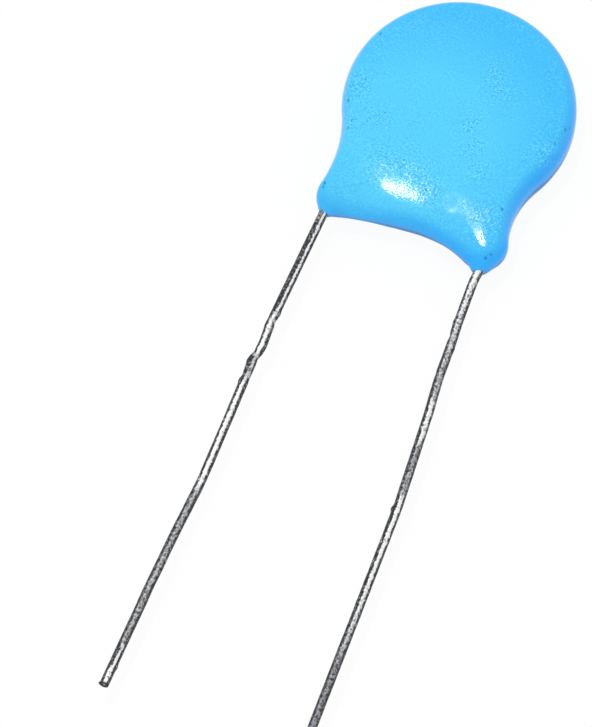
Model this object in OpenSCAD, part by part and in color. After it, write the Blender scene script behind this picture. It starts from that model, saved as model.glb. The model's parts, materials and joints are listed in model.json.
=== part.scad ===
// Ceramic disc capacitor with two wire leads.
// A round ceramic plate has a silver electrode fired on each face, and a tinned wire lead is
// soldered to each electrode. A dipped coating covers all of it and leaves the leads bare.
// The part lies on the flat back of its coating: the disc's axis is Z, the leads run along -Y,
// and the origin is the middle of the flat back, under the disc's centre.

/* [Ceramic plate] */
// Diameter of the fired ceramic plate
ceramic_d = 11.4; // [9:0.1:13]
// Thickness of the ceramic plate
ceramic_t = 1.1; // [0.8:0.05:2]
// Chamfer on the plate's pressed edges
ceramic_chamfer = 0.15; // [0.05:0.01:0.3]

/* [Electrodes] */
// Bare ceramic left round each electrode
electrode_margin = 0.6; // [0.45:0.05:1]
// Thickness of the fired silver layer
electrode_t = 0.04; // [0.02:0.01:0.08]

/* [Leads] */
// Diameter of the lead wire
lead_d = 0.55; // [0.45:0.01:0.65]
// Distance between the leads where they leave the coating
lead_pitch = 10; // [9:0.1:10.6]
// How far the pair of leads sits to the right of the disc's centre
lead_shift = 0.15; // [-0.2:0.05:0.2]
// Length of lead from the bottom of the right foot to the cut end
lead_length = 34; // [30:0.1:45]
// How far above the bottom of the right foot the leads come to the middle plane
level_run = 1; // [0.6:0.1:1.3]
// Length of lead from its inner end to the shoulder at the plate's edge
inner_run = 7; // [6:0.1:8]
// Angle between that stretch and the leads' direction
inner_angle = 25; // [18:1:32]
// Radius of the bends inside the coating, on the wire's centre line
bend_r = 1.2; // [0.8:0.1:1.5]
// Radius of the pinched jog in the left lead, on the wire's centre line
jog_r = 1.5; // [1:0.1:2]
// Radius of the gentle bows in both leads, on the wire's centre line
bow_r = 12; // [6:0.5:20]
// Outward lean of the left lead at its cut end
left_lean = 0.2; // [0.1:0.01:0.4]
// Outward lean of the right lead at its cut end
right_lean = 2.29; // [2.15:0.01:2.75]

/* [Solder] */
// Solder film between a lead and its electrode
solder_film = 0.05; // [0.03:0.01:0.08]
// Width of the fillet on each side of the lead
solder_fillet = 0.4; // [0.3:0.05:0.6]
// Solder over the top of the lead
solder_cover = 0.08; // [0.05:0.01:0.12]
// Height of the solder's edge on the electrode
solder_toe = 0.04; // [0.02:0.01:0.08]
// Bare electrode between the solder and the electrode's edge
solder_margin = 0.1; // [0.05:0.01:0.3]

/* [Coating] */
// Coating round the plate's rim
coat_rim = 1.26; // [1.2:0.02:1.6]
// Coating over each lead at the middle of the disc
coat_face = 0.5; // [0.45:0.01:0.8]
// Diameter of the flat in the middle of each face: the part lies on the back one
flat_d = 7.6; // [6:0.1:9]
// How far each face falls from its flat to the disc's rim
face_fall = 0.22; // [0.15:0.01:0.26]
// How late that fall sets in: 2 is a parabola
fall_power = 3.2; // [2.5:0.1:3.6]
// Width of the rounding along the whole edge
edge_round = 0.75; // [0.6:0.01:0.85]
// Squareness of that rounding: 2 is an ellipse
edge_power = 2.2; // [2:0.1:3]
// Length of the thin collar that the coating leaves on each lead
collar_length = 0.15; // [0.1:0.01:0.4]
// Thickness of the collar at its end
collar_wall = 0.06; // [0.04:0.01:0.1]
// Depth of the collar's root in the foot, and its extra radius there
collar_root = 0.3; // [0.2:0.05:0.4]

/* [Skirt] */
// Distance from the disc's lower edge to the bottom of the right foot
skirt_length = 2.5; // [2.3:0.05:2.9]
// How much sooner the left foot ends
left_foot_rise = 0.11; // [0:0.01:0.3]
// Radius of the left foot
left_foot_r = 1.13; // [1:0.01:1.3]
// Coating outside the left lead's centre line
left_foot_out = 0.87; // [0.8:0.01:1]
// How many times further the left foot carries the face's fall
left_reach = 1.95; // [1.5:0.01:2.2]
// Breadth of the crest over the left foot, in degrees round the disc
left_crest = 10.7; // [9:0.1:13]
// How far that crest lies outside the left foot's middle, in degrees round the disc
left_crest_out = 6.3; // [0:0.1:8]
// Radius of the right foot
right_foot_r = 1.55; // [1.2:0.01:1.7]
// Coating outside the right lead's centre line
right_foot_out = 1.01; // [0.9:0.01:1.2]
// How many times further the right foot carries the face's fall
right_reach = 1.63; // [1.5:0.01:2.2]
// Breadth of the crest over the right foot, in degrees round the disc
right_crest = 9.1; // [8:0.1:13]
// How far that crest lies outside the right foot's middle, in degrees round the disc
right_crest_out = 2.2; // [0:0.1:6]
// Radius of the hollow between the disc and the left foot
left_neck_r = 9; // [5:0.1:14]
// Radius of the hollow between the disc and the right foot
right_neck_r = 5.7; // [4:0.1:12]
// Radius of the long hollow of the lower edge, beside the left foot
web_left_r = 37; // [20:1:60]
// Radius of the short hollow of the lower edge, beside the right foot
web_right_r = 7; // [5:0.1:9]
// Slope of the lower edge where it leaves the left foot, in degrees
web_tilt = 13; // [11:0.1:15]

/* [Hidden] */
$fn = 64;

// Heights over the middle plane of the plate
ceramic_r = ceramic_d / 2;
electrode_r = ceramic_r - electrode_margin;
electrode_top = ceramic_t / 2 + electrode_t;
lead_seat = electrode_top + solder_film;
lead_rise = lead_seat + lead_d / 2;
mid_z = lead_seat + lead_d + coat_face;

// Where the leads leave the coating
left_x = lead_shift - lead_pitch / 2;
right_x = lead_shift + lead_pitch / 2;
disc_r = ceramic_r + coat_rim;
seat_y = -(disc_r + skirt_length);

// The coating's outline is a chain of tangent arcs round these centres
disc = [0, 0];
left_foot = [left_x - left_foot_out + left_foot_r, seat_y + left_foot_rise + left_foot_r];
right_foot = [right_x + right_foot_out - right_foot_r, seat_y + right_foot_r];
right_neck = meet(disc, disc_r + right_neck_r, right_foot, right_foot_r + right_neck_r);
left_neck = meet(left_foot, left_foot_r + left_neck_r, disc, disc_r + left_neck_r);
web_left = left_foot + (left_foot_r + web_left_r) * [sin(web_tilt), -cos(web_tilt)];
web_right = meet(web_left, web_left_r - web_right_r, right_foot, right_foot_r + web_right_r);

// Points of the coating's surface: steps along each arc, over the rounding and over a face
disc_steps = 42;
neck_steps = 9;
foot_steps = 13;
web_steps = 8;
edge_steps = 8;
face_steps = 6;

// The innermost ring of a face lies in its flat, at this share of the outline
core_share = 0.55;

// The wire is a hair thicker where it was bent, and its straights end just inside the bends
bend_swell = 0.01;
bend_lap = 0.05;

// Bends of each lead: distance below the right foot, outward shift there, and radius
left_bends = [
  [8, 0.12, jog_r],
  [9.7, 0.02, jog_r],
  [10.6, 0.18, jog_r],
  [19.4, -0.04, bow_r],
  [27.3, 0.17, bow_r]
];
right_bends = [
  [0.9, -0.07, bow_r],
  [7.8, 0.41, bow_r],
  [10.3, 0.74, bow_r],
  [16.8, 1.39, bow_r]
];

function unit(v) = v / norm(v);
function bearing(from, to) = atan2(to.y - from.y, to.x - from.x);

// Where a circle of radius a round p meets one of radius b round q, to the left of the way p to q
function meet(p, a, q, b) =
  let (
    d = norm(q - p),
    u = (q - p) / d,
    along = (a * a - b * b + d * d) / (2 * d),
    off = sqrt(a * a - along * along)
  )
  p + along * u + off * [-u.y, u.x];

// An arc round c from p's bearing to q's, without its last point: turn is 1 or -1
function arc(c, r, p, q, turn, steps) =
  let (
    from = bearing(c, p),
    sweep = turn * ((turn * (bearing(c, q) - from) + 720) % 360)
  )
  [for (i = [0 : steps - 1]) let (a = from + sweep * i / steps) c + r * [cos(a), sin(a)]];

// The outline drawn in by a distance: outward arcs lose it from their radius, hollows gain it
function outline(inset) = concat(
  arc(disc, disc_r - inset, right_neck, left_neck, 1, disc_steps),
  arc(left_neck, left_neck_r + inset, disc, left_foot, -1, neck_steps),
  arc(left_foot, left_foot_r - inset, left_neck, web_left, 1, foot_steps),
  arc(web_left, web_left_r + inset, left_foot, web_right, -1, web_steps),
  arc(web_right, web_right_r + inset, 2 * web_right - web_left, right_foot, -1, web_steps),
  arc(right_foot, right_foot_r - inset, web_right, right_neck, 1, foot_steps),
  arc(right_neck, right_neck_r + inset, right_foot, disc, -1, neck_steps)
);

// Half the coating's thickness at a point. Round the disc it falls from the flat to the rim, and in
// line with a foot the fall reaches further: left and right are the bearings of the two crests.
left_way = -atan2(left_foot.x, -left_foot.y) + left_crest_out;
right_way = atan2(right_foot.x, -right_foot.y) + right_crest_out;
function crest(way, at, breadth) = exp(-pow((way - at) / breadth, 2));
function half_t(p) =
  let (
    way = atan2(p.x, -p.y),
    reach = 1 + (left_reach - 1) * crest(-way, left_way, left_crest)
      + (right_reach - 1) * crest(way, right_way, right_crest),
    out = max(0, norm(p) - flat_d / 2) / (disc_r - flat_d / 2)
  )
  mid_z - face_fall * pow(out / reach, fall_power);

// One side's rings of points, from the edge over the rounding and in to the middle
function side_rings(side) =
  let (inner = outline(edge_round))
  concat(
    [for (k = [1 : edge_steps])
      let (
        t = 90 * k / edge_steps,
        inset = edge_round * (1 - pow(cos(t), 2 / edge_power)),
        lift = side * pow(sin(t), 2 / edge_power)
      )
      [for (p = outline(inset)) [p.x, p.y, mid_z + lift * half_t(p)]]
    ],
    [for (k = [1 : face_steps])
      let (share = 1 - (1 - core_share) * k / face_steps)
      [for (p = share * inner) [p.x, p.y, mid_z + side * half_t(p)]]
    ]
  );

// A closed skin over rings of equal length, from one pole to the other
module skin(rings, first, last) {
  n = len(rings[0]);
  top = len(rings) - 1;
  points = concat([for (ring = rings) each ring], [first, last]);
  first_i = len(points) - 2;
  last_i = len(points) - 1;
  faces = concat(
    [for (i = [0 : n - 1]) [first_i, i, (i + 1) % n]],
    [for (k = [0 : top - 1], i = [0 : n - 1])
      let (a = k * n + i, b = k * n + (i + 1) % n)
      each [[a, a + n, b], [b, a + n, b + n]]
    ],
    [for (i = [0 : n - 1]) [last_i, top * n + (i + 1) % n, top * n + i]]
  );
  polyhedron(points, faces);
}

// The dipped body as a solid lump, before the pieces inside are taken out of it
module coating_body() {
  rim = [for (p = outline(0)) [p.x, p.y, mid_z]];
  front = side_rings(1);
  back = side_rings(-1);
  rings = concat([for (k = [len(back) - 1 : -1 : 0]) back[k]], [rim], front);
  skin(rings, [0, 0, 0], [0, 0, 2 * mid_z]);
  for (end = [[left_x, seat_y + left_foot_rise], [right_x, seat_y]])
    translate([end.x, end.y + collar_root, mid_z])
      rotate([90, 0, 0])
        cylinder(
          h = collar_root + collar_length,
          r1 = lead_d / 2 + collar_root,
          r2 = lead_d / 2 + collar_wall
        );
}

// A round wire along a path, with each corner bent to its radius
module wire(path, radii) {
  u = unit(path[1] - path[0]);
  tilt = acos(u.z);
  spin = atan2(u.y, u.x);
  translate(path[0])
    rotate([0, tilt, spin])
      stretch(path, radii, 0, 0, 0, [cos(tilt) * cos(spin), cos(tilt) * sin(spin), -sin(tilt)]);
}

// One straight of the wire and the bend after it, in its own frame: Z runs along the wire and
// side_axis is the frame's X in the part. What follows is drawn in the frame at the bend's end.
module stretch(path, radii, i, start_trim, start_lap, side_axis) {
  ends = i + 2 == len(path);
  u = unit(path[i + 1] - path[i]);
  v = ends ? u : unit(path[i + 2] - path[i + 1]);
  turn = acos(min(1, u * v));
  r = radii[i + 1];
  trim = r * tan(turn / 2);
  lap = min(bend_lap, r * turn * PI / 180 / 3);
  length = norm(path[i + 1] - path[i]) - start_trim - trim;
  translate([0, 0, -start_lap])
    cylinder(h = start_lap + length + lap, d = lead_d);
  if (!ends) {
    w = unit(v - (u * v) * u);
    translate([0, 0, length])
      rotate([0, 0, atan2(w * cross(u, side_axis), w * side_axis)])
        translate([r, 0, 0]) {
          rotate([90, 0, 180])
            rotate_extrude(angle = turn)
              translate([r, 0])
                circle(d = lead_d + bend_swell);
          rotate([0, turn, 0])
            translate([-r, 0, 0])
              stretch(path, radii, i + 1, trim, lap, cos(turn) * w - sin(turn) * u);
        }
  }
}

// A lead's shoulder lies just off the plate's edge, and its inner end on the electrode
shoulder = (ceramic_r + lead_d) * [sin(45), -cos(45)];
inward = [-sin(inner_angle), cos(inner_angle)];
inner_end = shoulder + inner_run * inward;

// A lead's centre line: along the electrode, off its edge to the middle plane, then out
function lead_path(x, face, bends, lean) =
  let (
    side = sign(x),
    z = mid_z + face * lead_rise,
    outer = concat(bends, [[lead_length, lean]])
  )
  concat(
    [
      [side * inner_end.x, inner_end.y, z],
      [side * shoulder.x, shoulder.y, z],
      [x, seat_y + level_run, mid_z]
    ],
    [for (b = outer) [x + side * b[1], seat_y - b[0], mid_z]]
  );
function lead_radii(bends) = concat([0, bend_r, bend_r], [for (b = bends) b[2]], [0]);

module left_wire() {
  wire(lead_path(left_x, -1, left_bends, left_lean), lead_radii(left_bends));
}

module right_wire() {
  wire(lead_path(right_x, 1, right_bends, right_lean), lead_radii(right_bends));
}

// The solder reaches from near the electrode's edge, this far from the shoulder, to the lead's end
solder_r = lead_d / 2 + solder_fillet;
solder_start =
  let (b = shoulder * inward, r = electrode_r - solder_margin - solder_r)
  -b - sqrt(b * b - shoulder * shoulder + r * r);

// Half of the solder's section: a sloping fillet beside the lead and a thin cover over it
module solder_half() {
  cover_r = lead_d / 2 + solder_cover;
  lead_h = solder_film + lead_d / 2;
  polygon([[0, 0], [solder_r, 0], [solder_r, solder_toe], [cover_r, lead_h], [0, lead_h]]);
  translate([0, lead_h])
    intersection() {
      circle(r = cover_r);
      square(cover_r);
    }
}

// A bead of solder along a lead, with rounded ends: side and face are 1 or -1
module solder_bead(side, face) {
  length = inner_run - solder_start;
  at = shoulder + solder_start * inward;
  translate([0, 0, mid_z])
    mirror([0, 0, face < 0 ? 1 : 0])
      mirror([side < 0 ? 1 : 0, 0, 0])
        translate([at.x, at.y, electrode_top])
          rotate([0, 0, inner_angle]) {
            for (half = [0, 1])
              mirror([half, 0, 0])
                translate([0, length, 0])
                  rotate([90, 0, 0])
                    linear_extrude(length)
                      solder_half();
            rotate([0, 0, 180])
              rotate_extrude(angle = 180)
                solder_half();
            translate([0, length, 0])
              rotate_extrude(angle = 180)
                solder_half();
          }
}

module ceramic_disc() {
  color("tan")
    translate([0, 0, mid_z])
      rotate_extrude()
        polygon([
          [0, -ceramic_t / 2],
          [ceramic_r - ceramic_chamfer, -ceramic_t / 2],
          [ceramic_r, ceramic_chamfer - ceramic_t / 2],
          [ceramic_r, ceramic_t / 2 - ceramic_chamfer],
          [ceramic_r - ceramic_chamfer, ceramic_t / 2],
          [0, ceramic_t / 2]
        ]);
}

module front_electrode() {
  color("silver")
    translate([0, 0, mid_z + ceramic_t / 2])
      cylinder(h = electrode_t, r = electrode_r);
}

module back_electrode() {
  color("silver")
    translate([0, 0, mid_z - electrode_top])
      cylinder(h = electrode_t, r = electrode_r);
}

module front_solder() {
  color("lightgray")
    difference() {
      solder_bead(1, 1);
      right_wire();
    }
}

module back_solder() {
  color("lightgray")
    difference() {
      solder_bead(-1, -1);
      left_wire();
    }
}

module left_lead() {
  color("gray")
    left_wire();
}

module right_lead() {
  color("gray")
    right_wire();
}

module epoxy_coating() {
  color("deepskyblue")
    difference() {
      coating_body();
      ceramic_disc();
      front_electrode();
      back_electrode();
      solder_bead(1, 1);
      solder_bead(-1, -1);
      left_wire();
      right_wire();
    }
}

epoxy_coating();
ceramic_disc();
front_electrode();
back_electrode();
front_solder();
back_solder();
left_lead();
right_lead();
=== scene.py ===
import json
import math

import bpy
import numpy as np
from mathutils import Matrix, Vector, noise


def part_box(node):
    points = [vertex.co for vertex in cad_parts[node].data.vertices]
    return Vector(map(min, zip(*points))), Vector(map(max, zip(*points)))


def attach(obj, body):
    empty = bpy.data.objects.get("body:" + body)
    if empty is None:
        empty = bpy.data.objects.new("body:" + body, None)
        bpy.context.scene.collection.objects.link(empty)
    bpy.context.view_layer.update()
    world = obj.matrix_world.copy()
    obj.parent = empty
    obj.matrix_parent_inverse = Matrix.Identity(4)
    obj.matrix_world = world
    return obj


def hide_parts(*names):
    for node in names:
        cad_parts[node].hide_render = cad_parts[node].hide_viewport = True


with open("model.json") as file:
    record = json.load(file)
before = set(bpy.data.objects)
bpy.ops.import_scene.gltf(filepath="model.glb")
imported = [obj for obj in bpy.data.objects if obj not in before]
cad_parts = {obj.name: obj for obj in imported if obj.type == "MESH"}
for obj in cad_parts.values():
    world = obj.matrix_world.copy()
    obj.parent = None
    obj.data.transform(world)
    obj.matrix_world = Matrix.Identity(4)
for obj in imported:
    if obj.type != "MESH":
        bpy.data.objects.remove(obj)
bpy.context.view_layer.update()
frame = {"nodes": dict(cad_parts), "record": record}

# The ceramic plate
# A round tablet of barium titanate powder, pressed and fired to a tan body with chamfered edges.
# The coating hides it. It keeps the two electrodes apart.
MM = 0.001
dark_tan, pale_tan = (0.46, 0.34, 0.21, 1), (0.62, 0.49, 0.34, 1)


def new_finish(name):
    """A node material with the given name, its tree and its surface shader."""
    made = bpy.data.materials.new(name)
    made.use_nodes = True
    return made, made.node_tree, made.node_tree.nodes["Principled BSDF"]


def add(tree, kind, inputs, **settings):
    """A node with its settings made, and its inputs set to a value or linked to another node's output."""
    made = tree.nodes.new("ShaderNode" + kind)
    for key, value in settings.items():
        setattr(made, key, value)
    for key, value in inputs.items():
        if isinstance(value, bpy.types.NodeSocket):
            tree.links.new(value, made.inputs[key])
        else:
            made.inputs[key].default_value = value
    return made


def in_millimetres(tree):
    """The surface's own place in the part, in millimetres."""
    place = add(tree, "TexCoord", {}).outputs["Object"]
    scale = add(tree, "VectorMath", {0: place, "Scale": 1 / MM}, operation="SCALE")
    return scale.outputs["Vector"]


def grain(tree, place, per_mm, detail=2.0, roughness=0.5):
    """Noise from 0 to 1 with about so many grains to the millimetre."""
    inputs = {"Vector": place, "Scale": per_mm, "Detail": detail, "Roughness": roughness}
    return add(tree, "TexNoise", inputs).outputs["Fac"]


def spread(tree, value, low, high, to_low=0.0, to_high=1.0):
    """Stretches a value's range from low..high to to_low..to_high, and holds it there."""
    inputs = {"Value": value, "From Min": low, "From Max": high, "To Min": to_low, "To Max": to_high}
    return add(tree, "MapRange", inputs).outputs["Result"]


def blend(tree, share, first, second):
    """A colour between the first and the second."""
    made = add(tree, "Mix", {0: share, 6: first, 7: second}, data_type="RGBA")
    return made.outputs[2]


def roughen(tree, shader, height, depth_mm):
    """Gives the shader a bump of that depth where height goes from 0 to 1."""
    bump = add(tree, "Bump", {"Height": height, "Distance": depth_mm * MM, "Strength": 1.0})
    tree.links.new(bump.outputs["Normal"], shader.inputs["Normal"])


def dress(piece, finish):
    """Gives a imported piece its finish."""
    piece.data.materials.clear()
    piece.data.materials.append(finish)


ceramic_finish, tree, shader = new_finish("fired_ceramic")
speckle = grain(tree, in_millimetres(tree), 9.0, 4.0, 0.6)
tan = blend(tree, spread(tree, speckle, 0.35, 0.65), dark_tan, pale_tan)
tree.links.new(tan, shader.inputs["Base Color"])
shader.inputs["Roughness"].default_value = 0.75
roughen(tree, shader, speckle, 0.01)
dress(frame["nodes"]["ceramic_disc"], ceramic_finish)

# The electrodes
# A layer of silver paste printed on each face of the plate and fired on, with a bare margin round it.
# They are matt, with the fine mesh marks of the printing screen.
dark_silver, pale_silver = (0.6, 0.59, 0.55, 1), (0.8, 0.79, 0.75, 1)


def plus(tree, value, factor, base):
    """The value times the factor, plus the base."""
    return add(tree, "Math", {0: value, 1: factor, 2: base}, operation="MULTIPLY_ADD").outputs[0]


silver_finish, tree, shader = new_finish("fired_silver")
place = in_millimetres(tree)
mesh_marks = add(tree, "TexChecker", {"Vector": place, "Scale": 7.0}).outputs["Fac"]
powder = grain(tree, place, 14.0, 3.0)
printed = plus(tree, mesh_marks, 0.2, powder)
silver = blend(tree, spread(tree, printed, 0.3, 0.9), dark_silver, pale_silver)
tree.links.new(silver, shader.inputs["Base Color"])
shader.inputs["Metallic"].default_value = 1.0
shader.inputs["Roughness"].default_value = 0.5
roughen(tree, shader, printed, 0.004)
for side in ("front", "back"):
    dress(frame["nodes"][f"{side}_electrode"], silver_finish)

# The leads
# Copper-clad steel wire with a dull coat of tin, cut off at the end. Each lies along its electrode,
# bends off the plate's edge to the middle of the body and runs out through a foot of the coating.
# Handling has left a pinched jog in the left one, a bow in the right one and scuffs on both.
# A painted highlight runs along each crest, and painted dark reflection runs down the sides.
mounts = {mount["name"]: mount for mount in frame["record"]["mounts"]}
lead_r = mounts["left_lead_end"]["dims"]["r_mm"]
coat_low, coat_high = (np.array(corner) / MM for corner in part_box("epoxy_coating"))
collar_length = 0.15
mid_z = coat_high[2] / 2
seat_y = coat_low[1] + collar_length
ceramic_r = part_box("ceramic_disc")[1].x / MM
solder_gap = 0.05
lead_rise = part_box("front_electrode")[1].z / MM + solder_gap + lead_r - mid_z
lead_pitch = 10.0
lead_shift = 0.15
left_x = lead_shift - lead_pitch / 2
right_x = lead_shift + lead_pitch / 2
shoulder_turn = math.pi / 4
level_run = 1.0
inner_run = 7.0
inner_angle = math.radians(25)
bend_r, jog_r, bow_r = 1.2, 1.5, 12.0
# Bends outside the coating: distance below the right foot, outward shift and radius
left_bends = [
    (8.0, 0.12, jog_r), (9.7, 0.02, jog_r), (10.6, 0.18, jog_r), (19.4, -0.04, bow_r), (27.3, 0.17, bow_r),
]
right_bends = [(0.9, -0.07, bow_r), (7.8, 0.41, bow_r), (10.3, 0.74, bow_r), (16.8, 1.39, bow_r)]
# Slight sways between those bends: distance below the right foot and outward shift
left_sways = [(0, 0), (7, 0.02), (15, 0), (19, 0.01), (23, 0.05), (28.5, 0), (34, 0)]
right_sways = [(0, 0), (1, -0.04), (4, -0.05), (5.2, 0), (8, 0), (17, -0.015), (24, -0.025), (34, -0.06)]
# Dents and burrs that jaws left: distance below the right foot, turn from the top, and height
left_marks = [
    (7.25, 95, 0.04), (7.85, 95, -0.06), (8.25, -80, 0.03), (10.2, -80, -0.07), (10.5, 95, -0.05),
    (10.85, -80, 0.055), (11.85, -80, -0.04), (11.9, 95, -0.03), (12.25, -80, 0.05), (32.7, 95, 0.05),
]
right_marks = [(3.9, -80, 0.03), (4.9, -80, -0.05), (5.7, 95, 0.03), (7.6, -80, -0.02), (16.9, -80, 0.09)]
mark_length, mark_breadth = 0.2, 0.9
# Places of the jaws' pale cross bands: distance below the right foot
left_bands = [7.45, 7.9, 10.45, 11.9]
right_bands = []
band_length, band_turn = 0.13, 0.35
# The line of the painted highlight along the tin:
# distance below the right foot, turn from the top, half breadth and brightness
left_highlight_line = [
    (0, 27, 15, 1.0), (6.8, 26, 15, 1.0), (8.0, 2, 26, 1.0), (9.9, 2, 26, 1.1), (10.6, 26, 18, 0.8),
    (11.8, 20, 24, 0.7), (12.8, 4, 25, 1.1), (19.4, 8, 25, 1.1), (20.4, 12, 30, 0.6), (31, 14, 28, 0.6),
    (31.6, 22, 16, 0.95), (32.7, 20, 16, 1.0), (33.1, 8, 28, 1.0),
]
right_highlight_line = [
    (0, 8, 34, 1.0), (3, 6, 30, 0.85), (8.6, 10, 30, 0.6), (9.8, 14, 28, 0.95), (12.2, 14, 28, 0.95),
    (12.8, 12, 30, 0.55), (15.6, 12, 30, 0.6), (16.4, 18, 24, 1.1), (24, 16, 24, 0.9), (28, 12, 32, 0.45),
]
# Thickness of the tin, and how far it swells in slow and in quick waves
tin_build, slow_swell, quick_swell = 0.006, 0.012, 0.008
# The cut end's rings: distance past the end, share of the radius, and darkness
cut_rings = [(0.0, 1.04, 0.8), (0.03, 1.0, 1.0), (0.03, 0.72, 1.0), (0.01, 0.5, 0.55)]
cut_burr, cut_burr_turn, cut_burr_breadth = 0.18, -1.4, 0.7
cut_darkening, cut_darkening_length = 0.8, 0.12
wire_step, wire_sides, bend_steps = 0.06, 32, 12
turns = np.arange(wire_sides) * 2 * math.pi / wire_sides
# Tin colours: dark and grey for the painted dark reflection down the sides, dim and white for the painted
# highlight
dark_reflection_tin, grey_reflection_tin = (0.03, 0.032, 0.036, 1), (0.24, 0.25, 0.26, 1)
dim_highlight_tin, highlight_tin = (0.42, 0.43, 0.45, 1), (0.95, 0.95, 0.95, 1)
warm_tin, rubbed_tin = (0.95, 0.9, 0.8, 1), (0.62, 0.62, 0.64, 1)
# The cut end's colour: bare steel, painted darker still as painted shade
cut_steel_and_shade = (0.012, 0.012, 0.014, 1)


def unit(v):
    """A vector, or each row of a list of them, brought to a length of 1."""
    return v / np.linalg.norm(v, axis=-1, keepdims=True)


def bent_line(corners, radii):
    """Points along straight stretches, a step apart, with each inner corner bent to its radius."""
    points = [corners[0]]
    for before, corner, after, r in zip(corners, corners[1:], corners[2:], radii):
        u, v = unit(corner - before), unit(after - corner)
        turn = math.acos(min(1, u @ v))
        inward = unit(v - (u @ v) * u)
        start = corner - r * math.tan(turn / 2) * u
        for angle in np.linspace(0, turn, bend_steps):
            points.append(start + r * (math.sin(angle) * u + (1 - math.cos(angle)) * inward))
    points.append(corners[-1])
    points = np.array(points)
    run = np.concatenate([[0], np.cumsum(np.linalg.norm(np.diff(points, axis=0), axis=1))])
    even = np.linspace(0, run[-1], int(run[-1] / wire_step))
    return np.stack([np.interp(even, run, points[:, axis]) for axis in range(3)], axis=1), even


def lead_line(node, x, face, bends):
    """A lead's centre line from its inner end to its cut end, and each point's distance along it."""
    side = math.copysign(1, x)
    tip = mounts[node + "_end"]
    end = np.array(tip["pos_m"]) / MM + np.array(tip["axis"]) * tip["dims"]["length_mm"] / 2
    shoulder_way = np.array([side * math.sin(shoulder_turn), -math.cos(shoulder_turn)])
    shoulder = (ceramic_r + 2 * lead_r) * shoulder_way
    inner = shoulder + inner_run * np.array([-side * math.sin(inner_angle), math.cos(inner_angle)])
    z = mid_z + face * lead_rise
    corners = [np.array([*inner, z]), np.array([*shoulder, z]), np.array([x, seat_y + level_run, mid_z])]
    corners += [np.array([x + side * out, seat_y - down, mid_z]) for down, out, _ in bends]
    return bent_line(corners + [end], [bend_r, bend_r] + [bend[2] for bend in bends])


def turned(angle):
    """An angle brought to the range from minus half a turn to half a turn."""
    return (angle + math.pi) % (2 * math.pi) - math.pi


def tinned_radii(x, run, below, marks):
    """The radius round each ring of a lead, with uneven tin and jaw marks outside the coating."""
    radii = np.full((len(run), wire_sides), lead_r)
    for i in np.flatnonzero(below > 0):
        for j, turn in enumerate(turns):
            round_it = Vector((math.cos(turn), math.sin(turn), 0))
            slow = noise.noise(1.2 * round_it + Vector((0, 0, 0.9 * run[i] + 9 * x)))
            quick = noise.noise(2.5 * round_it + Vector((0, 0, 4.0 * run[i] + 5 * x)))
            radii[i, j] += tin_build + slow_swell * slow + quick_swell * quick
    for at, turn, height in marks:
        near = np.exp(-(((below - at) / mark_length) ** 2))[:, None]
        radii += height * near * np.exp(-((turned(turns - math.radians(turn)) / mark_breadth) ** 2))
    return radii


def swept(line, radii, heading):
    """Points of the rings round a line, whose last rings all face the way of its heading."""
    headings = np.gradient(line, axis=0)
    headings[-len(cut_rings) - 1 :] = heading
    headings = unit(headings)
    across = unit(np.array([1.0, 0, 0]) - headings[:, :1] * headings)
    tops = np.cross(headings, across)
    ways = np.cos(turns)[:, None] * tops[:, None] + np.sin(turns)[:, None] * across[:, None]
    return (line[:, None] + radii[..., None] * ways).reshape(-1, 3)


def tube_faces(rings):
    """Faces between the rings of a tube, and to the two points after them that close its ends."""
    faces = []
    for i in range(rings - 1):
        for j in range(wire_sides):
            a, b = i * wire_sides + j, i * wire_sides + (j + 1) % wire_sides
            faces.append((a, b, b + wire_sides, a + wire_sides))
    last = (rings - 1) * wire_sides
    for j in range(wire_sides):
        a, b = j, (j + 1) % wire_sides
        faces.append((rings * wire_sides, b, a))
        faces.append((rings * wire_sides + 1, last + a, last + b))
    return faces


def mesh_piece(name, points, faces):
    """A smooth mesh object from points in millimetres."""
    mesh = bpy.data.meshes.new(name)
    mesh.from_pydata((np.asarray(points) * MM).tolist(), [], faces)
    mesh.polygons.foreach_set("use_smooth", [True] * len(mesh.polygons))
    mesh.update()
    piece = bpy.data.objects.new(name, mesh)
    bpy.context.scene.collection.objects.link(piece)
    return piece


def store(piece, name, kind, values):
    """Keeps a value for each point of a piece, for its finish to read."""
    attribute = piece.data.attributes.new(name, kind, "POINT")
    key = "vector" if kind == "FLOAT_VECTOR" else "value"
    attribute.data.foreach_set(key, np.asarray(values, np.float32).ravel())


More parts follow.
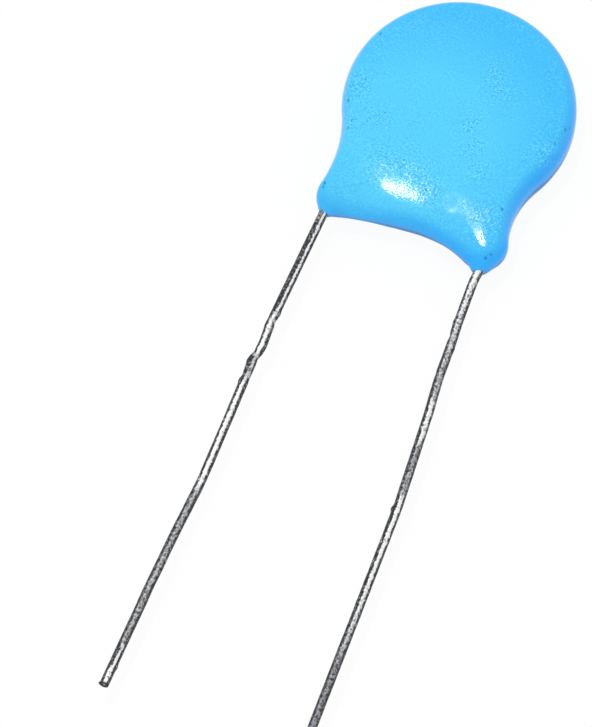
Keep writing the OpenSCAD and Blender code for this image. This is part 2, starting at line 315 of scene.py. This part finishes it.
def wire(name, node, x, face, bends, sways, marks, bands, highlight_line):
    """A lead swept along its line, with its jaw marks, uneven tin and sheared end."""
    line, run = lead_line(node, x, face, bends)
    below = seat_y - line[:, 1]
    line[:, 0] += math.copysign(1, x) * np.interp(below, *np.array(sways, float).T)
    radii = tinned_radii(x, run, below, marks)
    # The cutters left a pinched rim with a burr on one side, round a cut face. Both are painted dark,
    # partly as bare steel and partly as painted shade, with the face greyer than the rim.
    rim = 1 + cut_burr * np.exp(-((turned(turns - cut_burr_turn) / cut_burr_breadth) ** 2))
    heading = unit(line[-1] - line[-2])
    line = np.vstack([line] + [line[-1] + ahead * heading for ahead, _, _ in cut_rings])
    radii = np.vstack([radii] + [lead_r * share * rim for _, share, _ in cut_rings])
    points = swept(line, radii, heading)
    rings = len(line)
    piece = mesh_piece(name, np.vstack([points, line[0], line[-1]]), tube_faces(rings))
    # What the finish reads: the place on the wire, the painted highlight line, the bands and the cut end's
    # darkening
    run = np.append(run, np.full(len(cut_rings), run[-1]))
    below = np.append(below, np.full(len(cut_rings), below[-1]))
    places = np.stack(np.broadcast_arrays(np.cos(turns), np.sin(turns), run[:, None]), axis=-1)
    places = np.vstack([places.reshape(-1, 3), (0, 0, run[0]), (0, 0, run[-1])])
    store(piece, "wire_place", "FLOAT_VECTOR", places)
    at, lean, breadth, highlight_strength = np.array(highlight_line, float).T
    lean, breadth = (np.radians(np.interp(below, at, values)) for values in (lean, breadth))
    off_highlight_line = turned(turns - lean[:, None]) / breadth[:, None]
    banded = sum((np.exp(-(((below - band) / band_length) ** 2)) for band in bands), np.zeros(rings))
    on_top = np.exp(-(turned(turns - band_turn) ** 2))
    cut = np.clip(1 - (below[-1] - below) / cut_darkening_length, 0, cut_darkening)
    cut[-len(cut_rings) :] = [dark for _, _, dark in cut_rings]
    columns = {"off_highlight": off_highlight_line.ravel(), "band": (banded[:, None] * on_top).ravel()}
    for key, values in (("below_foot", below), ("highlight_strength", np.interp(below, at, highlight_strength)), ("cut", cut)):
        columns[key] = np.repeat(values, wire_sides)
    for key, values in columns.items():
        store(piece, key, "FLOAT", np.append(values, [values[0], values[-1]]))
    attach(piece, "root")
    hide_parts(node)
    return piece


def stored(tree, name):
    """A value kept with the piece's points."""
    return add(tree, "Attribute", {}, attribute_name=name).outputs["Fac"]


def scaled(tree, place, scale):
    """A place stretched along its axes."""
    return add(tree, "VectorMath", {0: place, 1: scale}, operation="MULTIPLY").outputs["Vector"]


def product(tree, first, second):
    """One value times another."""
    return add(tree, "Math", {0: first, 1: second}, operation="MULTIPLY").outputs[0]


tin_finish, tree, shader = new_finish("tinned_wire")
wire_place = add(tree, "Attribute", {}, attribute_name="wire_place").outputs["Vector"]
specks = grain(tree, scaled(tree, wire_place, (lead_r, lead_r, 0.75)), 7.5, 2.0, 0.65)
scuffs = grain(tree, scaled(tree, wire_place, (lead_r, lead_r, 0.2)), 6.0, 3.0, 0.6)
crust = grain(tree, scaled(tree, wire_place, (lead_r, lead_r, 1.0)), 14.0, 2.0, 0.6)
near_foot = spread(tree, stored(tree, "below_foot"), 0.3, 1.4, 1.0, 0.0)
off_highlight = add(tree, "Math", {0: stored(tree, "off_highlight")}, operation="ABSOLUTE").outputs[0]
highlight_strength = stored(tree, "highlight_strength")
# A painted highlight along the crest and painted dark reflection down the sides, broken up by specks and
# lengthwise scuffs
highlight_and_scuffs = product(tree, spread(tree, off_highlight, 0.55, 1.4, 1.0, 0.0), highlight_strength)
highlight_and_scuffs = plus(tree, specks, 2.8, highlight_and_scuffs)
highlight_and_scuffs = plus(tree, scuffs, 0.8, highlight_and_scuffs)
highlight_and_scuffs = plus(tree, near_foot, 0.3, highlight_and_scuffs)
tin = blend(tree, spread(tree, highlight_and_scuffs, 1.8, 2.3), dark_reflection_tin, grey_reflection_tin)
highlight_colour = blend(tree, spread(tree, highlight_strength, 0.45, 1.0), dim_highlight_tin, highlight_tin)
highlight_colour = blend(tree, near_foot, highlight_colour, warm_tin)
tin = blend(tree, spread(tree, highlight_and_scuffs, 2.25, 2.7), tin, highlight_colour)
band = plus(tree, specks, 1.6, stored(tree, "band"))
tin = blend(tree, spread(tree, band, 1.0, 1.8, 0.0, 0.9), tin, rubbed_tin)
# The cut end is painted near black, partly bare steel and partly painted shade
tin = blend(tree, stored(tree, "cut"), tin, cut_steel_and_shade)
tree.links.new(tin, shader.inputs["Base Color"])
tree.links.new(spread(tree, specks, 0.3, 0.7, 0.38, 0.55), shader.inputs["Roughness"])
shader.inputs["Metallic"].default_value = 0.75
roughen(tree, shader, plus(tree, crust, 0.5, specks), 0.012)
left_lead = wire(
    "left_wire_lead", "left_lead", left_x, -1,
    left_bends, left_sways, left_marks, left_bands, left_highlight_line,
)
right_lead = wire(
    "right_wire_lead", "right_lead", right_x, 1,
    right_bends, right_sways, right_marks, right_bands, right_highlight_line,
)
for lead in (left_lead, right_lead):
    lead.data.materials.append(tin_finish)

# The solder
# A bead of solder along each lead, with a sloping fillet that wets the electrode on both sides.
# It froze with a slightly frosted skin.
dark_solder, pale_solder = (0.5, 0.5, 0.51, 1), (0.72, 0.72, 0.72, 1)
solder_finish, tree, shader = new_finish("solder")
frost = grain(tree, in_millimetres(tree), 11.0, 3.0)
frosted = blend(tree, spread(tree, frost, 0.35, 0.7), dark_solder, pale_solder)
tree.links.new(frosted, shader.inputs["Base Color"])
tree.links.new(spread(tree, frost, 0.3, 0.7, 0.25, 0.45), shader.inputs["Roughness"])
shader.inputs["Metallic"].default_value = 1.0
roughen(tree, shader, frost, 0.006)
for side in ("front", "back"):
    dress(frame["nodes"][f"{side}_solder"], solder_finish)

# The coating
# Blue resin that the soldered plate was dipped in and then baked, glossy with a fine orange peel.
# It thins below the disc to a skirt with a foot round each lead, and lies on the flat of its back.
disc_r = coat_high[0]
flat_r, face_fall, fall_power = 3.8, 0.22, 2.88
# The ridge that runs out into each foot: reach, half width, and turn outwards from the foot
left_reach, left_ridge, left_ridge_out = 1.9, math.radians(11.1), math.radians(7.8)
right_reach, right_ridge, right_ridge_out = 1.55, math.radians(11.3), math.radians(3.3)
hollow, hollow_way, hollow_width = 0.05, math.radians(18), math.radians(6)
# Shallow dips and swells where the resin ran: place, radius and height
runs = [
    (2.6, -5.8, 1.5, -0.035), (-0.55, -5.9, 0.75, 0.036), (-5.2, -8.3, 0.6, 0.035),
    (3.4, -7.4, 1.3, -0.035), (4.75, -8.1, 0.45, -0.018),
]
edge_round, edge_power = 0.75, 2.2
left_foot_r, left_foot_out, left_foot_rise = 1.13, 0.87, 0.11
right_foot_r, right_foot_out = 1.55, 1.01
left_neck_r, right_neck_r = 9.0, 5.7
web_left_r, web_right_r, web_tilt = 37.0, 7.0, math.radians(13)
collar_wall, collar_rise = 0.06, 1.0
# The thin skin that crept down each lead: place, length and spread at its root
collars = [
    (left_x, seat_y + left_foot_rise, collar_length, 0.18),
    (right_x, seat_y, 0.4, 0.34),
]
# Pits where bubbles broke in the bake: place on the front, and radius
pits = [
    (5.3, -9.05, 0.15), (5.55, -8.8, 0.13), (0.5, -6.45, 0.15), (-5.3, -8.2, 0.17), (5.15, -6.15, 0.12),
    (6.6, 0.4, 0.15), (6.72, 0.75, 0.12), (6.4, -0.7, 0.14), (6.3, -1.95, 0.11), (-5.3, -8.45, 0.14),
    (-5.96, 2.31, 0.12), (-6.05, -2.55, 0.15), (-5.35, -4.4, 0.14), (-5.3, -3.85, 0.12),
    (-5.65, -0.95, 0.12), (-5.6, -1.3, 0.11), (-3.7, -2.65, 0.11), (1.4, 2.1, 0.1), (2.1, 1.3, 0.1),
]
pit_depth = 0.04
# Patches where the skin wrinkled as it baked: place on the front, and radius
patches = [
    (1.5, 1.9, 0.8), (2.1, 1.2, 0.7), (1.3, -1.6, 0.8), (2.1, -2.9, 0.8), (2.9, -4.3, 0.7),
    (-1.6, -5.6, 1.6), (-3.9, -3.1, 0.9), (0.6, -6.3, 1.1), (-6.0, -1.6, 1.0), (-5.4, -4.1, 0.8),
    (6.3, -1.6, 1.0), (4.4, -7.2, 1.0),
]
# Spots where the skin came out dull: place on the front, and radius
dull_spots = [(2.2, -6.6, 0.55), (2.9, -6.6, 0.5), (3.9, -7.35, 0.4), (-2.1, -6.35, 0.35)]
# Clouds of pale specks round the highlights, painted glints: place on the front, and radius
glint_clouds = [(-2.3, -6.4, 0.7), (-0.9, -6.1, 0.8), (0.3, -6.6, 0.7), (4.0, -7.0, 0.6), (2.9, -6.6, 0.35)]
# Height of the orange peel's slow and quick waves
slow_peel, quick_peel = 0.006, 0.004
rest_height, rest_margin = 0.02, 0.3
disc_steps, neck_steps, foot_steps, web_steps = 340, 22, 40, 26
edge_steps, edge_crowding, face_steps, core_r = 32, 1.4, 20, 3.6
# The painted sheen round the main highlight: its heart, and its pale blue beside the face's blue
sheen_heart = (-1.3, -3.3, 3.3)
sheen_blue, face_blue = (0.083, 0.6, 0.92, 1), (0.05, 0.5, 0.92, 1)
# The fine grain's dim and lit blues, and the pale of the painted glints
dim_grain, lit_grain, glint_pale = (0.03, 0.36, 0.75, 1), (0.2, 0.75, 0.97, 1), (0.55, 0.92, 0.98, 1)
# The deeper edge blue and the dark under blue are painted shade
edge_shade_blue, edge_pale, under_shade_blue = (0.03, 0.41, 1.0, 1), (0.13, 0.42, 1.0, 1), (0.027, 0.14, 0.36, 1)
pit_blue = (0.01, 0.16, 0.34, 1)
disc = np.zeros(2)
left_foot = np.array([left_x - left_foot_out + left_foot_r, seat_y + left_foot_rise + left_foot_r])
right_foot = np.array([right_x + right_foot_out - right_foot_r, seat_y + right_foot_r])


def meet(p, a, q, b):
    """Where a circle of radius a round p meets one of radius b round q, to the left of the way p to q."""
    d = np.linalg.norm(q - p)
    u = (q - p) / d
    along = (a * a - b * b + d * d) / (2 * d)
    return p + along * u + math.sqrt(a * a - along * along) * np.array([-u[1], u[0]])


def arc(centre, r, p, q, turn, steps):
    """Points of an arc round centre from p's bearing to q's, without the last."""
    start, stop = (math.atan2(*(to - centre)[::-1]) for to in (p, q))
    sweep = turn * ((turn * (stop - start)) % (2 * math.pi))
    angles = start + sweep * np.arange(steps) / steps
    return centre + r * np.stack([np.cos(angles), np.sin(angles)], axis=1)


right_neck = meet(disc, disc_r + right_neck_r, right_foot, right_foot_r + right_neck_r)
left_neck = meet(left_foot, left_foot_r + left_neck_r, disc, disc_r + left_neck_r)
web_left = left_foot + (left_foot_r + web_left_r) * np.array([math.sin(web_tilt), -math.cos(web_tilt)])
web_right = meet(web_left, web_left_r - web_right_r, right_foot, right_foot_r + web_right_r)


def outline(inset):
    """The coating's outline as a chain of tangent arcs, drawn in by a distance."""
    return np.vstack([
        arc(disc, disc_r - inset, right_neck, left_neck, 1, disc_steps),
        arc(left_neck, left_neck_r + inset, disc, left_foot, -1, neck_steps),
        arc(left_foot, left_foot_r - inset, left_neck, web_left, 1, foot_steps),
        arc(web_left, web_left_r + inset, left_foot, web_right, -1, web_steps),
        arc(web_right, web_right_r + inset, 2 * web_right - web_left, right_foot, -1, web_steps),
        arc(right_foot, right_foot_r - inset, web_right, right_neck, 1, foot_steps),
        arc(right_neck, right_neck_r + inset, right_foot, disc, -1, neck_steps),
    ])


def half_thickness(p):
    """Half the coating's thickness: level in the middle and falling to the rim, later towards a foot."""
    way = np.arctan2(p[:, 0], -p[:, 1])
    left_way = math.atan2(left_foot[0], -left_foot[1]) - left_ridge_out
    right_way = math.atan2(right_foot[0], -right_foot[1]) + right_ridge_out
    reach = 1 + (left_reach - 1) * np.exp(-(((way - left_way) / left_ridge) ** 2))
    reach += (right_reach - 1) * np.exp(-(((way - right_way) / right_ridge) ** 2))
    reach -= hollow * np.exp(-(((way - hollow_way) / hollow_width) ** 2))
    out = np.maximum(0, np.linalg.norm(p, axis=1) - flat_r) / (disc_r - flat_r)
    half = mid_z - face_fall * (out / reach) ** fall_power
    for x, y, r, height in runs:
        half += height * np.exp(-((p[:, 0] - x) ** 2 + (p[:, 1] - y) ** 2) / r**2)
    return half


def edge_rings(side):
    """Rings of the rounded edge from the rim in, and how near the rim each is, from 1 to 0."""
    rings, rims = [], []
    for t in math.pi / 2 * np.linspace(0, 1, edge_steps + 1)[1:] ** edge_crowding:
        p = outline(edge_round * (1 - math.cos(t) ** (2 / edge_power)))
        z = mid_z + side * math.sin(t) ** (2 / edge_power) * half_thickness(p)
        rings.append(np.column_stack([p, z]))
        rims.append(1 - t / (math.pi / 2))
    return rings, rims


def face_core(steps):
    """The middle of the face: a square grid pressed into a circle, so that no spokes meet at its centre."""
    square = np.linspace(-1, 1, steps + 1)
    u, v = np.meshgrid(square, square)
    core = core_r * np.stack([u * np.sqrt(1 - v * v / 2), v * np.sqrt(1 - u * u / 2)], axis=-1)
    border = np.vstack([core[0, :-1], core[:-1, -1], core[-1, :0:-1], core[:0:-1, 0]])
    return core, np.unwrap(np.arctan2(border[:, 1], border[:, 0]))


def core_numbers(border, first):
    """Point numbers of the core's grid, whose border is the last ring and whose inside starts at first."""
    steps = len(border) // 4
    last = np.append(border, border[0])
    grid = np.zeros((steps + 1, steps + 1), int)
    grid[0], grid[:, -1] = last[: steps + 1], last[steps : 2 * steps + 1]
    grid[-1], grid[:, 0] = last[2 * steps : 3 * steps + 1][::-1], last[3 * steps :][::-1]
    grid[1:-1, 1:-1] = (first + np.arange((steps - 1) ** 2)).reshape(steps - 1, steps - 1)
    return grid


def side_of(side, first):
    """Points and faces of one side from the rim in, where first is the number of its first new point."""
    rings, rims = edge_rings(side)
    inner = outline(edge_round)
    count = len(inner)
    core, core_bearings = face_core(count // 4)
    bearings = np.unwrap(np.arctan2(inner[:, 1], inner[:, 0]))
    turn = np.mean(bearings - core_bearings)
    spin = np.array([[math.cos(turn), -math.sin(turn)], [math.sin(turn), math.cos(turn)]])
    core = (core @ spin.T)[1:-1, 1:-1].reshape(-1, 2)
    for share in np.linspace(0, 1, face_steps + 1)[1:]:
        bearing = bearings + share**2 * (core_bearings + turn - bearings)
        reach = (1 - share) * np.linalg.norm(inner, axis=1) + share * core_r
        p = np.stack([reach * np.cos(bearing), reach * np.sin(bearing)], axis=1)
        rings.append(np.column_stack([p, mid_z + side * half_thickness(p)]))
        rims.append(0.0)
    numbers = np.vstack([np.arange(count), first + np.arange(len(rings) * count).reshape(-1, count)])
    faces = []
    for a, b in zip(numbers, numbers[1:]):
        faces.append(np.stack([a, np.roll(a, -1), np.roll(b, -1), b], axis=1))
    grid = core_numbers(numbers[-1], first + len(rings) * count)
    squares = [grid[:-1, :-1], grid[:-1, 1:], grid[1:, 1:], grid[1:, :-1]]
    faces.append(np.stack(squares, axis=-1).reshape(-1, 4))
    faces = np.vstack(faces)
    points = np.vstack(rings + [np.column_stack([core, mid_z + side * half_thickness(core)])])
    rim = np.concatenate([np.repeat(rims, count), np.zeros(len(core))])
    return points, faces if side > 0 else faces[:, ::-1], rim


rim_points = outline(0)
rim_points = np.column_stack([rim_points, np.full(len(rim_points), mid_z)])
front_points, front_faces, front_rim = side_of(1, len(rim_points))
back_points, back_faces, back_rim = side_of(-1, len(rim_points) + len(front_points))
points = np.vstack([rim_points, front_points, back_points])
coating = mesh_piece("blue_coating", points, np.vstack([front_faces, back_faces]).tolist())
normals = np.zeros(len(points) * 3, np.float32)
coating.data.vertex_normals.foreach_get("vector", normals)
normals = normals.reshape(-1, 3)
on_front = points[:, 2] > mid_z


def spotted(spots):
    """How near each point of the front lies to the middle of a spot, from 0 to 1."""
    near = np.zeros(len(points))
    for x, y, r in spots:
        off = np.hypot(points[:, 0] - x, points[:, 1] - y) / r
        near = np.maximum(near, np.where(on_front, np.exp(-(off**2)), 0))
    return near


pitted = np.zeros(len(points))
for x, y, r in pits:
    off = np.where(on_front, np.hypot(points[:, 0] - x, points[:, 1] - y), np.inf)
    heart = points[np.argmin(off)]
    off = np.linalg.norm(points - heart, axis=1) / r
    pitted = np.maximum(pitted, np.clip(1 - off**2, 0, 1))
store(coating, "rim", "FLOAT", np.concatenate([np.ones(len(rim_points)), front_rim, back_rim]))
store(coating, "pit", "FLOAT", pitted)
store(coating, "wrinkle", "FLOAT", spotted(patches))
store(coating, "dull", "FLOAT", spotted(dull_spots))
store(coating, "painted_glints", "FLOAT", spotted(glint_clouds))
# The orange peel covers all but the level patch that the part lies on
peel_height = np.array([
    slow_peel * noise.noise(Vector(p * 0.9)) + quick_peel * noise.noise(Vector(p * 2.6 + 7)) for p in points
])
level = (points[:, 2] < rest_height) & (np.hypot(points[:, 0], points[:, 1]) < flat_r + rest_margin)
peel_height[level] = 0
points = points + normals * (peel_height - pit_depth * pitted)[:, None]
for x, y, length, root in collars:
    off = np.hypot(points[:, 0] - x, points[:, 2] - mid_z) - lead_r - collar_wall
    near = (points[:, 1] < y + collar_rise) & (off < 3 * root)
    points[near, 1] -= length * np.exp(-((np.maximum(0, off[near]) / root) ** 2))
coating.data.vertices.foreach_set("co", (points * MM).astype(np.float32).ravel())
coating.data.update()
blue_finish, tree, shader = new_finish("blue_coating")
place = in_millimetres(tree)
rim, wrinkle = stored(tree, "rim"), stored(tree, "wrinkle")
peel = grain(tree, place, 8.5, 2.0, 0.6)
fine = grain(tree, place, 8.0, 2.0, 0.6)
# A painted sheen makes the front palest low down, round the main highlight
from_sheen_heart = add(tree, "VectorMath", {0: place, 1: sheen_heart}, operation="DISTANCE").outputs["Value"]
blue = blend(tree, spread(tree, from_sheen_heart, 4.0, 8.5), sheen_blue, face_blue)
# A fine grain shows through it, most where the skin wrinkled
uneven = plus(tree, wrinkle, 1.0, spread(tree, grain(tree, place, 0.7), 0.4, 0.6, 0.2, 0.5))
blue = blend(tree, product(tree, spread(tree, fine, 0.52, 0.75), uneven), blue, dim_grain)
blue = blend(tree, product(tree, spread(tree, fine, 0.48, 0.25), uneven), blue, lit_grain)
# Pale specks painted round the highlights, as painted glints
painted_glints = product(tree, spread(tree, fine, 0.5, 0.3), stored(tree, "painted_glints"))
blue = blend(tree, painted_glints, blue, glint_pale)
# Painted shade makes it deeper round the edge, most on the right; it is paler along the middle of the edge,
# and painted shade makes it dark below
right_way = add(tree, "VectorMath", {0: place, 1: (1, 0.25, 0)}, operation="DOT_PRODUCT").outputs["Value"]
right_shade = spread(tree, right_way, -7.0, 4.0, 0.4, 1.0)
blue = blend(tree, product(tree, spread(tree, rim, 0.1, 0.55, 0.0, 0.85), right_shade), blue, edge_shade_blue)
blue = blend(tree, spread(tree, rim, 0.7, 0.95, 0.0, 0.5), blue, edge_pale)
height = add(tree, "SeparateXYZ", {"Vector": place}).outputs["Z"]
# Painted shade on the underside of the edge
under_shade = spread(tree, height, mid_z + 0.06, mid_z - 0.28)
under_shade = product(tree, under_shade, spread(tree, rim, 0.2, 0.8, 0.0, 0.85))
blue = blend(tree, under_shade, blue, under_shade_blue)
ragged = plus(tree, fine, 1.4, stored(tree, "pit"))
blue = blend(tree, spread(tree, ragged, 1.1, 1.5, 0.0, 0.7), blue, pit_blue)
tree.links.new(blue, shader.inputs["Base Color"])
gloss = spread(tree, peel, 0.3, 0.7, 0.07, 0.13)
tree.links.new(plus(tree, stored(tree, "dull"), 0.4, gloss), shader.inputs["Roughness"])
shader.inputs["IOR"].default_value = 1.5
tree.links.new(spread(tree, rim, 0.05, 0.8, 0.26, 0.05), shader.inputs["Specular IOR Level"])
roughen(tree, shader, product(tree, peel, spread(tree, wrinkle, 0, 1, 0.5, 1.3)), 0.008)
coating.data.materials.append(blue_finish)
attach(coating, "root")
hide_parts("epoxy_coating")

# The bench
# A sheet of plain white paper that the part lies on. The camera and shiny surfaces see it as white,
# and it keeps a little of the part's shadow.
bench_half, bench_z = 1000.0, -0.02
dark_paper, pale_paper = (0.93, 0.93, 0.93, 1), (0.96, 0.96, 0.96, 1)
white_share = 0.93


def either(tree, first, second):
    """The larger of two values."""
    return add(tree, "Math", {0: first, 1: second}, operation="MAXIMUM").outputs[0]


corners = [(-bench_half, -bench_half, bench_z), (bench_half, -bench_half, bench_z)]
corners += [(bench_half, bench_half, bench_z), (-bench_half, bench_half, bench_z)]
bench = mesh_piece("bench", corners, [(0, 1, 2, 3)])
paper_finish, tree, shader = new_finish("white_paper")
fibre = grain(tree, in_millimetres(tree), 3.0, 3.0)
tree.links.new(blend(tree, fibre, dark_paper, pale_paper), shader.inputs["Base Color"])
shader.inputs["Roughness"].default_value = 0.9
shader.inputs["Specular IOR Level"].default_value = 0.1
ray = add(tree, "LightPath", {}).outputs
seen = either(tree, ray["Is Camera Ray"], ray["Is Glossy Ray"])
seen = either(tree, seen, ray["Is Transmission Ray"])
glow = add(tree, "Emission", {"Color": (1, 1, 1, 1), "Strength": 1.0})
share = product(tree, seen, white_share)
sheet = add(tree, "MixShader", {0: share, 1: shader.outputs[0], 2: glow.outputs[0]})
tree.links.new(sheet.outputs[0], tree.nodes["Material Output"].inputs["Surface"])
bench.data.materials.append(paper_finish)

# The light
# A soft room light from all round, and one soft lamp high over the part, a little to its left.
room_light = 0.84
lamp_way, lamp_far, lamp_across = unit(np.array([-0.234, 0.015, 0.972])), 0.5, 0.022
lamp_level = 0.25
world = bpy.data.worlds.new("room")
bpy.context.scene.world = world
world.use_nodes = True
world.node_tree.nodes["Background"].inputs["Color"].default_value = (1, 1, 1, 1)
world.node_tree.nodes["Background"].inputs["Strength"].default_value = room_light
lamp_data = bpy.data.lights.new("soft_lamp", "AREA")
lamp_data.shape = "DISK"
lamp_data.size = lamp_across
lamp_data.energy = lamp_level * math.pi**2 * lamp_far**2
lamp = bpy.data.objects.new("soft_lamp", lamp_data)
lamp.location = Vector(lamp_way * lamp_far)
lamp.rotation_euler = Vector(lamp_way).to_track_quat("Z", "Y").to_euler()
bpy.context.scene.collection.objects.link(lamp)

# The camera
# It looks down on the part from its right front, from far away, as the photograph does.
azimuth, elevation = math.radians(21.84), math.radians(61.16)
photo_w, photo_h = 592, 727
disc_px = (459.1, 110.5)
px_per_mm = 16.914
camera_data = bpy.data.cameras.new("camera")
camera_data.lens = 1200
camera_data.clip_start, camera_data.clip_end = 0.1, 10
far = camera_data.lens / camera_data.sensor_width * photo_h / px_per_mm
across = np.array([math.cos(azimuth), math.sin(azimuth), 0])
forward = np.array([-math.sin(azimuth), math.cos(azimuth), 0])
back = math.sin(elevation) * np.array([0, 0, 1]) - math.cos(elevation) * forward
up = np.cross(back, across)
right_mm = (disc_px[0] - photo_w / 2) / px_per_mm
down_mm = (disc_px[1] - photo_h / 2) / px_per_mm
camera = bpy.data.objects.new("camera", camera_data)
camera.location = Vector((np.array([0, 0, mid_z]) + far * back - right_mm * across + down_mm * up) * MM)
camera.rotation_euler = Vector(back).to_track_quat("Z", "Y").to_euler()
bpy.context.scene.collection.objects.link(camera)
bpy.context.scene.camera = camera
bpy.context.scene.view_settings.view_transform = "Standard"
